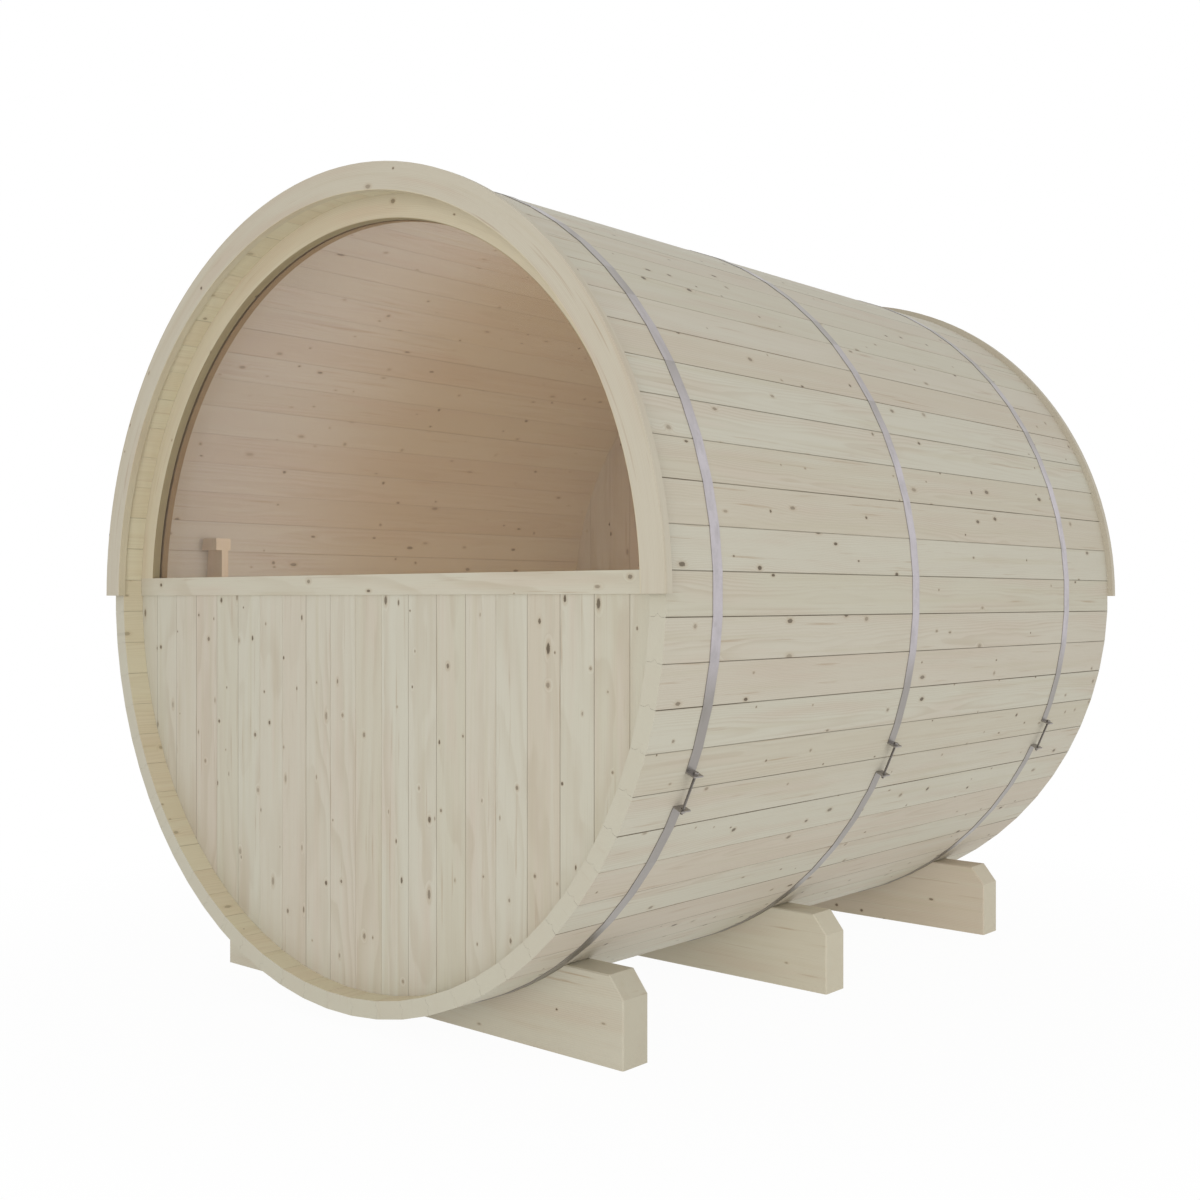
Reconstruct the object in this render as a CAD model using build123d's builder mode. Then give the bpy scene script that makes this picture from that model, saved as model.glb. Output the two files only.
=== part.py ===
"""Barrel sauna: a lying barrel of wooden staves on three cradles, held by steel hoops.

Millimetres. +Z is up, the barrel's axis runs along Y and the half-round window faces -Y.
The origin is on the ground, under the middle of the barrel.
"""
import math
import os

from build123d import *

# Barrel
barrel_radius = 1000.0
barrel_length = 2175.0
stave_count = 68
stave_thickness = 42.0
stave_joint_gap = 0.4
stave_edge_chamfer = 1.2
tongue_width = 16.0
tongue_depth = 7.0
croze_depth = 12.0
seat_clearance = 0.3

# Cradles: how far the outer two stand in from the barrel's ends, and the middle one from the front end
cradle_length = 1454.0
cradle_height = 203.0
cradle_thickness = 86.0
cradle_base = 34.0
cradle_corner_width = 40.0
cradle_corner_height = 50.0
cradle_edge_chamfer = 3.0
end_cradle_inset = 236.0
middle_cradle_inset = 1051.0

# End walls
wall_thickness = 48.0
board_thickness = 42.0
board_cover_width = 96.6
board_joint_gap = 0.4
board_edge_chamfer = 1.0
board_joint_offset = -12.5
board_setback = 4.0
front_wall_recess = 56.0
rear_wall_recess = 220.0
narrowest_board_share = 0.5

# Half-round window
sill_height = 49.0
window_arch_width = 57.0
glass_thickness = 8.0
glass_setback = 22.0
glazing_groove_depth = 10.0

# Half-ring trims on the stave ends
trim_width = 65.0
trim_thickness = 20.0
trim_overhang = 15.0

# Steel hoops and the bolts that tighten them
hoop_width = 32.0
hoop_thickness = 1.5
hoop_cradle_gap = 10.0
hoop_bolt_angle = 23.8
hoop_bolt_gap = 78.0
lug_height = 24.0
lug_thickness = 3.0
hoop_bolt_diameter = 8.0
hoop_bolt_stand = 15.0
hoop_bolt_hole_clearance = 0.4
bolt_head_width = 13.0
bolt_head_height = 6.5
bolt_tail = 12.0

# Door in the rear wall
door_width = 600.0
door_frame_width = 45.0
door_frame_margin = 40.0
door_frame_proud = 10.0
door_stop_width = 14.0
door_stop_thickness = 16.0
door_leaf_gap = 3.0
door_board_thickness = 32.0
door_board_count = 6
ledge_width = 96.0
ledge_thickness = 10.0
ledge_end_gap = 20.0
ledge_place_share = 0.3
handle_length = 220.0
handle_stand = 46.0
handle_thickness = 24.0
handle_grip_height_share = 0.5
handle_edge_round = 8.0
handle_side_inset = 60.0
hinge_length = 110.0
hinge_plate_width = 26.0
hinge_plate_thickness = 2.5
hinge_knuckle_diameter = 14.0
hinge_place_share = 0.36

# Small wooden bracket on the inside of the left wall: an upright plate under a cap with a nose to the front
bracket_reach = 77.0
bracket_thickness = 22.0
bracket_height = 190.0
bracket_top = 168.0
bracket_cap_height = 34.0
bracket_cap_overhang = 5.0
bracket_cap_nose = 22.0
bracket_inset = 274.0

cut_overrun = 20.0

# Places and radii that follow from the sizes above
axis_height = barrel_radius + cradle_base
front_end = -barrel_length / 2
rear_end = barrel_length / 2
half_stave_angle = 180.0 / stave_count
outer_apothem = barrel_radius * math.cos(math.radians(half_stave_angle))
inner_apothem = outer_apothem - stave_thickness
croze_radius = inner_apothem + croze_depth
wall_edge_radius = croze_radius - seat_clearance
front_wall_face = front_end + front_wall_recess
rear_wall_face = rear_end - rear_wall_recess
rear_wall_inside = rear_wall_face - wall_thickness
board_face = front_wall_face + board_setback
rear_board_face = rear_wall_face - board_setback
window_radius = inner_apothem - window_arch_width
glass_front = front_wall_face + glass_setback
cradle_places = {
    "front": front_end + end_cradle_inset,
    "middle": front_end + middle_cradle_inset,
    "rear": rear_end - end_cradle_inset,
}


def across(place):
    """Plane across the barrel at this Y, centred on its axis, X to the right and Z up."""
    return Plane(origin=(0, place, axis_height), x_dir=(1, 0, 0), z_dir=(0, -1, 0))


def level(height):
    """Level plane at this height above the barrel's axis."""
    return Plane.XY.offset(axis_height + height)


def stave_polygon(apothem, mode=Mode.ADD):
    """Polygon with one side for each stave, in the sketch in hand."""
    RegularPolygon(apothem, stave_count, major_radius=False, rotation=half_stave_angle, mode=mode)


def cut_below(height):
    """Take away what lies below this height over the axis, in the sketch in hand."""
    with Locations((0, height)):
        Rectangle(4 * barrel_radius, 2 * barrel_radius, align=(Align.CENTER, Align.MAX), mode=Mode.SUBTRACT)


def cut_above(height):
    """Take away what lies above this height over the axis, in the sketch in hand."""
    with Locations((0, height)):
        Rectangle(4 * barrel_radius, 2 * barrel_radius, align=(Align.CENTER, Align.MIN), mode=Mode.SUBTRACT)


def save(piece, name):
    """Label a finished piece and write it to its own file."""
    piece.part.label = name
    export_step(piece.part, f"parts/{name}.step")


os.makedirs("parts", exist_ok=True)

# Stave section: X runs out from the barrel's axis, the tongue is on the +Y edge and the groove on the -Y edge
half_angle = math.radians(half_stave_angle)
half_gap = stave_joint_gap / 2
outer_half_width = outer_apothem * math.tan(half_angle) - half_gap
inner_corner_radius = inner_apothem / math.cos(half_angle)
tongue_centre = (barrel_radius + inner_corner_radius) / 2


def joint_point(along, beyond, side):
    """Point this far out along a stave joint and this far past it; side 1 has the tongue, -1 the groove."""
    angle = side * half_angle
    outwards = along * math.cos(angle) - beyond * math.sin(angle)
    sideways = along * math.sin(angle) + beyond * math.cos(angle)
    return (outwards, sideways)


with BuildSketch() as stave_section:
    with BuildLine():
        Polyline(
            (outer_apothem, outer_half_width - stave_edge_chamfer),
            joint_point(barrel_radius - stave_edge_chamfer, -half_gap, 1),
            joint_point(tongue_centre + tongue_width / 2, -half_gap, 1),
            joint_point(tongue_centre, tongue_depth - half_gap, 1),
            joint_point(tongue_centre - tongue_width / 2, -half_gap, 1),
            joint_point(inner_corner_radius, -half_gap, 1),
            joint_point(inner_corner_radius, half_gap, -1),
            joint_point(tongue_centre - tongue_width / 2, half_gap, -1),
            joint_point(tongue_centre, tongue_depth + half_gap, -1),
            joint_point(tongue_centre + tongue_width / 2, half_gap, -1),
            joint_point(barrel_radius - stave_edge_chamfer, half_gap, -1),
            (outer_apothem, stave_edge_chamfer - outer_half_width),
            close=True,
        )
    make_face()

# Staves: eight segments of the round wall, each stave grooved for what stands in it: the window's sill and
# arch above the axis at the front, and boards below it and at the rear
stave_segments = (
    "right_staves",
    "upper_right_staves",
    "top_staves",
    "upper_left_staves",
    "left_staves",
    "lower_left_staves",
    "bottom_staves",
    "lower_right_staves",
)
stave_angle = 360.0 / stave_count
segment_angle = 360.0 / len(stave_segments)
window_groove = wall_thickness + 2 * seat_clearance
board_groove = board_thickness + 2 * seat_clearance

for number, name in enumerate(stave_segments):
    middle = number * segment_angle
    first = math.ceil((middle - segment_angle / 2) / stave_angle)
    after_last = math.ceil((middle + segment_angle / 2) / stave_angle)
    with BuildPart() as staves:
        with BuildSketch(across(front_end)):
            for index in range(first, after_last):
                with Locations(Location((0, 0), index * stave_angle)):
                    add(stave_section.sketch)
        extrude(amount=-barrel_length)
        with BuildSketch(across(front_wall_face - seat_clearance)):
            stave_polygon(croze_radius)
            cut_below(-seat_clearance)
        extrude(amount=-window_groove, mode=Mode.SUBTRACT)
        with BuildSketch(across(board_face - seat_clearance)):
            stave_polygon(croze_radius)
            cut_above(0)
        extrude(amount=-board_groove, mode=Mode.SUBTRACT)
        with BuildSketch(across(rear_board_face - board_thickness - seat_clearance)):
            stave_polygon(croze_radius)
        extrude(amount=-board_groove, mode=Mode.SUBTRACT)
    save(staves, name)

# Cradles: a beam on edge with a round seat for the barrel, cut upper corners and eased edges
cradle_seat_radius = barrel_radius + seat_clearance
cradle_half = cradle_length / 2
ground = -axis_height
cradle_top = ground + cradle_height

for name, place in cradle_places.items():
    with BuildPart() as cradle:
        with BuildSketch(across(place - cradle_thickness / 2)):
            with BuildLine():
                Polyline(
                    (-cradle_half, ground),
                    (cradle_half, ground),
                    (cradle_half, cradle_top - cradle_corner_height),
                    (cradle_half - cradle_corner_width, cradle_top),
                    (cradle_corner_width - cradle_half, cradle_top),
                    (-cradle_half, cradle_top - cradle_corner_height),
                    close=True,
                )
            make_face()
            Circle(cradle_seat_radius, mode=Mode.SUBTRACT)
        extrude(amount=-cradle_thickness)
        rims = cradle.edges().filter_by(GeomType.LINE).group_by(Axis.Y)
        above_ground = rims[0].sort_by(Axis.Z)[1:] + rims[-1].sort_by(Axis.Z)[1:]
        chamfer(above_ground, cradle_edge_chamfer)
    save(cradle, f"{name}_cradle")

# Hoops: a steel strap flat on the staves in front of each cradle, its two ends folded out as lugs
hoop_inner_radius = outer_apothem + seat_clearance
hoop_outer_radius = hoop_inner_radius + hoop_thickness
hoop_setback = cradle_thickness / 2 + hoop_cradle_gap + hoop_width / 2
gap_half_angle = math.asin(hoop_bolt_gap / 2 / hoop_inner_radius)
lug_base = hoop_inner_radius * math.cos(gap_half_angle)
lug_offset = (hoop_bolt_gap + lug_thickness) / 2
bolt_line_radius = lug_base + hoop_bolt_stand
bolt_angle = math.radians(-hoop_bolt_angle)
bolt_outwards = Vector(math.cos(bolt_angle), 0, math.sin(bolt_angle))
bolt_upwards = Vector(-math.sin(bolt_angle), 0, math.cos(bolt_angle))
bolt_reach = hoop_bolt_gap / 2 + lug_thickness

for name, place in cradle_places.items():
    hoop_place = place - hoop_setback
    bolt_centre = Vector(0, hoop_place, axis_height) + bolt_outwards * bolt_line_radius
    bolt_plane = Plane(origin=bolt_centre, x_dir=(0, 1, 0), z_dir=bolt_upwards)
    with BuildPart() as hoop:
        with BuildSketch(across(hoop_place - hoop_width / 2)):
            stave_polygon(hoop_outer_radius)
            stave_polygon(hoop_inner_radius, mode=Mode.SUBTRACT)
            with Locations(Location((0, 0), -hoop_bolt_angle)):
                with Locations((lug_base, 0)):
                    Rectangle(lug_height * 2, hoop_bolt_gap, mode=Mode.SUBTRACT)
                with Locations((lug_base, lug_offset), (lug_base, -lug_offset)):
                    Rectangle(lug_height, lug_thickness, align=(Align.MIN, Align.CENTER))
        extrude(amount=-hoop_width)
        with BuildSketch(bolt_plane):
            Circle(hoop_bolt_diameter / 2 + hoop_bolt_hole_clearance)
        extrude(amount=bolt_reach + lug_thickness, both=True, mode=Mode.SUBTRACT)
    save(hoop, f"{name}_hoop")

    with BuildPart() as bolt:
        with BuildSketch(bolt_plane.offset(-bolt_reach - bolt_head_height - bolt_tail)):
            Circle(hoop_bolt_diameter / 2)
        extrude(amount=2 * bolt_reach + bolt_head_height + bolt_tail)
        with BuildSketch(bolt_plane.offset(bolt_reach), bolt_plane.offset(-bolt_reach - bolt_head_height)):
            RegularPolygon(bolt_head_width / 2, 6, major_radius=False)
        extrude(amount=bolt_head_height)
    save(bolt, f"{name}_hoop_bolt")

# Half-ring trims on the stave ends, from the axis upwards
trim_outer_radius = barrel_radius + trim_overhang
trim_inner_radius = trim_outer_radius - trim_width

for name, place in {"front_arch_trim": front_end - trim_thickness, "rear_arch_trim": rear_end}.items():
    with BuildPart() as trim:
        with BuildSketch(across(place)):
            Circle(trim_outer_radius)
            Circle(trim_inner_radius, mode=Mode.SUBTRACT)
            cut_below(0)
        extrude(amount=-trim_thickness)
    save(trim, name)

# Front wall below the window: upright boards standing in the croze
board_reach = wall_edge_radius - narrowest_board_share * board_cover_width
first_joint = math.ceil((-board_reach - board_joint_offset) / board_cover_width)
last_joint = math.floor((board_reach - board_joint_offset) / board_cover_width)
board_joints = [board_joint_offset + k * board_cover_width for k in range(first_joint, last_joint + 1)]


def board_spans(low, high):
    """Left and right edges of the upright boards between two places across the wall."""
    stops = [low] + [joint for joint in board_joints if low < joint < high] + [high]
    narrowest = narrowest_board_share * board_cover_width
    if len(stops) > 2 and stops[1] - stops[0] < narrowest:
        del stops[1]
    if len(stops) > 2 and stops[-1] - stops[-2] < narrowest:
        del stops[-2]
    return list(zip(stops[:-1], stops[1:]))


def board_section(left, right, face, thickness, out):
    """Section of one upright board in plan; out is -1 where its chamfered face looks to -Y, else 1."""
    low = left + board_joint_gap / 2
    high = right - board_joint_gap / 2
    back = face - out * thickness
    shoulder = face - out * board_edge_chamfer
    Polygon(
        (low, back),
        (low, shoulder),
        (low + board_edge_chamfer, face),
        (high - board_edge_chamfer, face),
        (high, shoulder),
        (high, back),
        align=None,
    )


def wall_boards(low, high, foot, top, face, out):
    """Upright boards of an end wall between two places and two heights, cut to the round wall's edge."""
    with BuildPart() as boards:
        with BuildSketch(level(foot)):
            for left, right in board_spans(low, high):
                board_section(left, right, face, board_thickness, out)
        extrude(amount=top - foot)
        with BuildSketch(across(face - board_thickness - cut_overrun)):
            stave_polygon(wall_edge_radius)
        extrude(amount=-2 * (board_thickness + cut_overrun), mode=Mode.INTERSECT)
    return boards


front_boards = wall_boards(-wall_edge_radius, wall_edge_radius, -wall_edge_radius, 0, board_face, -1)
save(front_boards, "front_boards")

# Window sill: a rail across the barrel on the boards, grooved for the glass
glass_edge = glazing_groove_depth - seat_clearance

with BuildPart() as sill:
    with BuildSketch(across(front_wall_face)):
        stave_polygon(wall_edge_radius)
        cut_below(0)
        cut_above(sill_height)
    extrude(amount=-wall_thickness)
    with BuildSketch(across(glass_front - seat_clearance)):
        with Locations((0, sill_height - glazing_groove_depth)):
            Rectangle(2 * (window_radius + glazing_groove_depth), sill_height,
                      align=(Align.CENTER, Align.MIN))
    extrude(amount=-(glass_thickness + 2 * seat_clearance), mode=Mode.SUBTRACT)
save(sill, "window_sill")

# Window arch: the ring that carries the glass, standing on the sill and in the croze
with BuildPart() as window_arch:
    with BuildSketch(across(front_wall_face)):
        stave_polygon(wall_edge_radius)
        Circle(window_radius, mode=Mode.SUBTRACT)
        cut_below(sill_height)
    extrude(amount=-wall_thickness)
    with BuildSketch(across(glass_front - seat_clearance)):
        Circle(window_radius + glazing_groove_depth)
    extrude(amount=-(glass_thickness + 2 * seat_clearance), mode=Mode.SUBTRACT)
save(window_arch, "window_arch")

with BuildPart() as glass:
    with BuildSketch(across(glass_front)):
        Circle(window_radius + glass_edge)
        cut_below(sill_height - glass_edge)
    extrude(amount=-glass_thickness)
save(glass, "window_glass")

# Doorway in the rear wall, as tall as its frame's corners leave room for in the round
frame_half_width = door_width / 2 + door_frame_width
frame_half_height = math.sqrt((inner_apothem - door_frame_margin) ** 2 - frame_half_width**2)
door_half_width = door_width / 2
door_half_height = frame_half_height - door_frame_width

# Rear wall: boards beside, over and under the door frame
beside = (-wall_edge_radius, wall_edge_radius)
rear_panels = {
    "rear_left_boards": (-wall_edge_radius, -frame_half_width, *beside),
    "rear_right_boards": (frame_half_width, wall_edge_radius, *beside),
    "rear_upper_boards": (-frame_half_width, frame_half_width, frame_half_height, wall_edge_radius),
    "rear_lower_boards": (-frame_half_width, frame_half_width, -wall_edge_radius, -frame_half_height),
}
for name, (low, high, foot, top) in rear_panels.items():
    save(wall_boards(low, high, foot, top, rear_board_face, 1), name)

# Door frame: two posts between a head and a threshold, each with a stop for the leaf
frame_outside = rear_wall_face + door_frame_proud
frame_depth = frame_outside - rear_wall_inside
leaf_outside = frame_outside
leaf_inside = leaf_outside - door_board_thickness
stop_face = leaf_inside - seat_clearance


def frame_bar(low_corner, high_corner, stop_low, stop_high):
    """One bar of the door frame with its stop, from corners across the wall."""
    with BuildPart() as bar:
        with BuildSketch(across(rear_wall_inside)):
            with Locations(low_corner):
                Rectangle(high_corner[0] - low_corner[0], high_corner[1] - low_corner[1],
                          align=(Align.MIN, Align.MIN))
        extrude(amount=-frame_depth)
        with BuildSketch(across(stop_face - door_stop_thickness)):
            with Locations(stop_low):
                Rectangle(stop_high[0] - stop_low[0], stop_high[1] - stop_low[1],
                          align=(Align.MIN, Align.MIN))
        extrude(amount=-door_stop_thickness)
    return bar


stop_half_width = door_half_width - door_stop_width
stop_half_height = door_half_height - door_stop_width
left_post = frame_bar(
    (-frame_half_width, -door_half_height), (-door_half_width, door_half_height),
    (-door_half_width, -stop_half_height), (-stop_half_width, stop_half_height))
save(left_post, "door_left_post")
right_post = frame_bar(
    (door_half_width, -door_half_height), (frame_half_width, door_half_height),
    (stop_half_width, -stop_half_height), (door_half_width, stop_half_height))
save(right_post, "door_right_post")
head = frame_bar(
    (-frame_half_width, door_half_height), (frame_half_width, frame_half_height),
    (-door_half_width, stop_half_height), (door_half_width, door_half_height))
save(head, "door_head")
threshold = frame_bar(
    (-frame_half_width, -frame_half_height), (frame_half_width, -door_half_height),
    (-door_half_width, -door_half_height), (door_half_width, -stop_half_height))
save(threshold, "door_threshold")

# Door leaf: upright boards held by two ledges on the inside
leaf_half_width = door_half_width - door_leaf_gap
leaf_half_height = door_half_height - door_leaf_gap
door_board_width = 2 * leaf_half_width / door_board_count
with BuildPart() as door_boards:
    with BuildSketch(level(-leaf_half_height)):
        for index in range(door_board_count):
            left = -leaf_half_width + index * door_board_width
            board_section(left, left + door_board_width, leaf_outside, door_board_thickness, 1)
    extrude(amount=2 * leaf_half_height)
save(door_boards, "door_boards")

ledge_length = 2 * (stop_half_width - ledge_end_gap)
ledge_height = 2 * leaf_half_height * ledge_place_share
with BuildPart() as ledges:
    with BuildSketch(across(leaf_inside - ledge_thickness)):
        with Locations((0, ledge_height), (0, -ledge_height)):
            Rectangle(ledge_length, ledge_width)
    extrude(amount=-ledge_thickness)
save(ledges, "door_ledges")

# Wooden pull on the leaf: a grip standing off two feet
grip_depth = handle_stand * handle_grip_height_share
handle_x = leaf_half_width - handle_side_inset
with BuildPart() as handle:
    with BuildSketch(Plane(origin=(handle_x, leaf_outside, axis_height), x_dir=(0, 1, 0), z_dir=(1, 0, 0))):
        with BuildLine():
            Polyline(
                (0, -handle_length / 2),
                (handle_stand, -handle_length / 2),
                (handle_stand, handle_length / 2),
                (0, handle_length / 2),
                (0, handle_length / 2 - handle_stand),
                (grip_depth, handle_length / 2 - handle_stand),
                (grip_depth, handle_stand - handle_length / 2),
                (0, handle_stand - handle_length / 2),
                close=True,
            )
        make_face()
    extrude(amount=handle_thickness / 2, both=True)
    outer_corners = handle.edges().filter_by(Axis.X).group_by(Axis.Y)[-1]
    fillet(outer_corners, handle_edge_round)
save(handle, "door_handle")

# Butt hinges: two plates and a knuckle on the joint between the leaf and its left post
hinge_height = 2 * leaf_half_height * hinge_place_share
hinge_x = -door_half_width + door_leaf_gap / 2
knuckle_radius = hinge_knuckle_diameter / 2
with BuildPart() as hinges:
    with BuildSketch(across(leaf_outside)):
        with Locations((hinge_x, hinge_height), (hinge_x, -hinge_height)):
            Rectangle(2 * hinge_plate_width, hinge_length)
    extrude(amount=-hinge_plate_thickness)
    with BuildSketch(level(hinge_height - hinge_length / 2), level(-hinge_height - hinge_length / 2)):
        with Locations((hinge_x, leaf_outside + knuckle_radius)):
            Circle(knuckle_radius)
    extrude(amount=hinge_length)
save(hinges, "door_hinges")

# Bracket on the inside of the left wall, its back cut to the staves that it sits on
bracket_front = front_end + bracket_inset
bracket_end = bracket_reach - inner_apothem
cap_foot = bracket_top - bracket_cap_height
with BuildPart() as bracket:
    with BuildSketch(level(bracket_top - bracket_height)):
        with Locations((bracket_end, bracket_front)):
            Rectangle(inner_apothem, bracket_thickness, align=(Align.MAX, Align.MIN))
    extrude(amount=bracket_height)
    with BuildSketch(level(cap_foot)):
        with Locations((bracket_end + bracket_cap_overhang, bracket_front - bracket_cap_nose)):
            Rectangle(inner_apothem, bracket_cap_nose + bracket_thickness + bracket_cap_overhang,
                      align=(Align.MAX, Align.MIN))
    extrude(amount=bracket_cap_height)
    with BuildSketch(across(bracket_front - bracket_cap_nose - cut_overrun)):
        stave_polygon(inner_apothem)
    extrude(amount=-(bracket_cap_nose + bracket_thickness + 2 * cut_overrun), mode=Mode.INTERSECT)
save(bracket, "wall_bracket")
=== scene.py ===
"""Barrel sauna: spruce, steel and glass finishes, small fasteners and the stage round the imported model."""
import math

import bpy
from mathutils import Matrix, Vector


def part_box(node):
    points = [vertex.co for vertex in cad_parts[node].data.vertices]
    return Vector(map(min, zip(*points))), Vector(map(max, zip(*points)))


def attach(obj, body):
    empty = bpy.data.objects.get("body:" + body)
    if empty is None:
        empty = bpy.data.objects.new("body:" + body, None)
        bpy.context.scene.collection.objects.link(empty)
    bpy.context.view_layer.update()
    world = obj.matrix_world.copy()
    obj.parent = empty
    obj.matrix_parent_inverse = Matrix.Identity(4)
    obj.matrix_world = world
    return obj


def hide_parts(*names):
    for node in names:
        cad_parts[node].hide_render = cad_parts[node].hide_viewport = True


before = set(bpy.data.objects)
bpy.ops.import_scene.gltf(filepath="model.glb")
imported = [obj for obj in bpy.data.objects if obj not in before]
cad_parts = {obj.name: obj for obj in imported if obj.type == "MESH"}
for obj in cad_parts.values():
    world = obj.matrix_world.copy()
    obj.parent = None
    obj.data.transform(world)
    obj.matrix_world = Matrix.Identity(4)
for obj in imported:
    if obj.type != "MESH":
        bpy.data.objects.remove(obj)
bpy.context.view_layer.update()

bl_info = {
    "name": "Barrel sauna finishes",
    "version": (1, 0, 0),
    "blender": (4, 5, 0),
    "location": "3D View > Sidebar > Sauna",
    "description": "Finishes, small fasteners and stage for a spruce barrel sauna",
    "category": "Object",
}

# Pieces that wear each finish
stave_nodes = (
    "right_staves", "upper_right_staves", "top_staves", "upper_left_staves",
    "left_staves", "lower_left_staves", "bottom_staves", "lower_right_staves",
)
wall_board_nodes = (
    "front_boards", "rear_left_boards", "rear_right_boards", "rear_upper_boards", "rear_lower_boards",
)
trim_nodes = ("front_arch_trim", "rear_arch_trim")
level_nodes = ("front_cradle", "window_sill", "door_head", "door_threshold", "door_ledges")
painted_light_cradle_nodes = ("middle_cradle", "rear_cradle")
# Cradles under the barrel, lightened with painted light
upright_nodes = ("door_left_post", "door_right_post", "door_handle")
strap_nodes = ("front_hoop", "middle_hoop", "rear_hoop", "door_hinges")
hoop_names = ("front", "middle", "rear")

# Places that the imported model gives, in metres
axis_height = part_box("front_arch_trim")[0].z
stave_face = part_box("right_staves")[1].x
trim_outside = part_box("front_arch_trim")[1].x
window_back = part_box("window_arch")[1].y

# Depths from which a face is an inner one, in metres: below the staves' outer faces or the trims' outer edge
stave_inside = 0.041
trim_inside = 0.0645
window_reveal = 0.1145

# Axes by number
x_axis = 0
y_axis = 1
z_axis = 2

# Added to the numbers of boards in a row, half rings, level and upright pieces, so that their figures differ
row_numbers = 200.0
arch_numbers = 400.0
level_numbers = 600.0
upright_numbers = 800.0

# Cycles a metre of the patterns in the wood: along a board, across it and into it
sway_rates = (1.3, 5.0, 5.0)
fibre_rates = (7.0, 620.0, 620.0)
streak_rates = (1.1, 46.0, 46.0)
patch_rates = (2.1, 17.0, 17.0)
resin_rates = (3.4, 95.0, 11.3)
knot_edge_rates = (260.0, 420.0, 0.0)

# Cycles a metre along a board joint, and cycles from one joint to the next
joint_rates = (2.2, 9.7, 0.0)

# Cycles a metre of the patterns in the zinc: along X, Y and Z
rolled_rates = (6.0, 900.0, 6.0)
dull_rates = (14.0, 30.0, 14.0)


def linear(red, green, blue):
    """Scene-linear colour of three 8-bit screen values."""
    shares = [value / 255 for value in (red, green, blue)]
    return tuple(s / 12.92 if s <= 0.04045 else ((s + 0.055) / 1.055) ** 2.4 for s in shares)


def colour_prop(name, about, screen):
    """Colour property with its default written as 8-bit screen values."""
    return bpy.props.FloatVectorProperty(
        name=name, description=about, subtype="COLOR", size=3, min=0, max=1, default=linear(*screen))


def length_prop(name, about, default):
    """Length property in metres."""
    return bpy.props.FloatProperty(
        name=name, description=about, unit="LENGTH", subtype="DISTANCE", precision=5, default=default)


def share_prop(name, about, default):
    """Plain share from 0 to 1."""
    return bpy.props.FloatProperty(
        name=name, description=about, subtype="FACTOR", min=0, max=1, default=default)


def tint_prop(name, about, default):
    """Shares of red, green and blue that a finish has of the common spruce."""
    return bpy.props.FloatVectorProperty(name=name, description=about, size=3, min=0, max=2, default=default)


def place_prop(name, about, default):
    """Place in metres."""
    return bpy.props.FloatVectorProperty(
        name=name, description=about, subtype="TRANSLATION", unit="LENGTH", size=3, default=default)


def power_prop(name, about, default):
    """Power of a lamp in watts."""
    return bpy.props.FloatProperty(name=name, description=about, unit="POWER", default=default)


def angle_prop(name, about, degrees):
    """Angle with its default written in degrees."""
    return bpy.props.FloatProperty(
        name=name, description=about, unit="ROTATION", subtype="ANGLE", default=math.radians(degrees))


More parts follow.
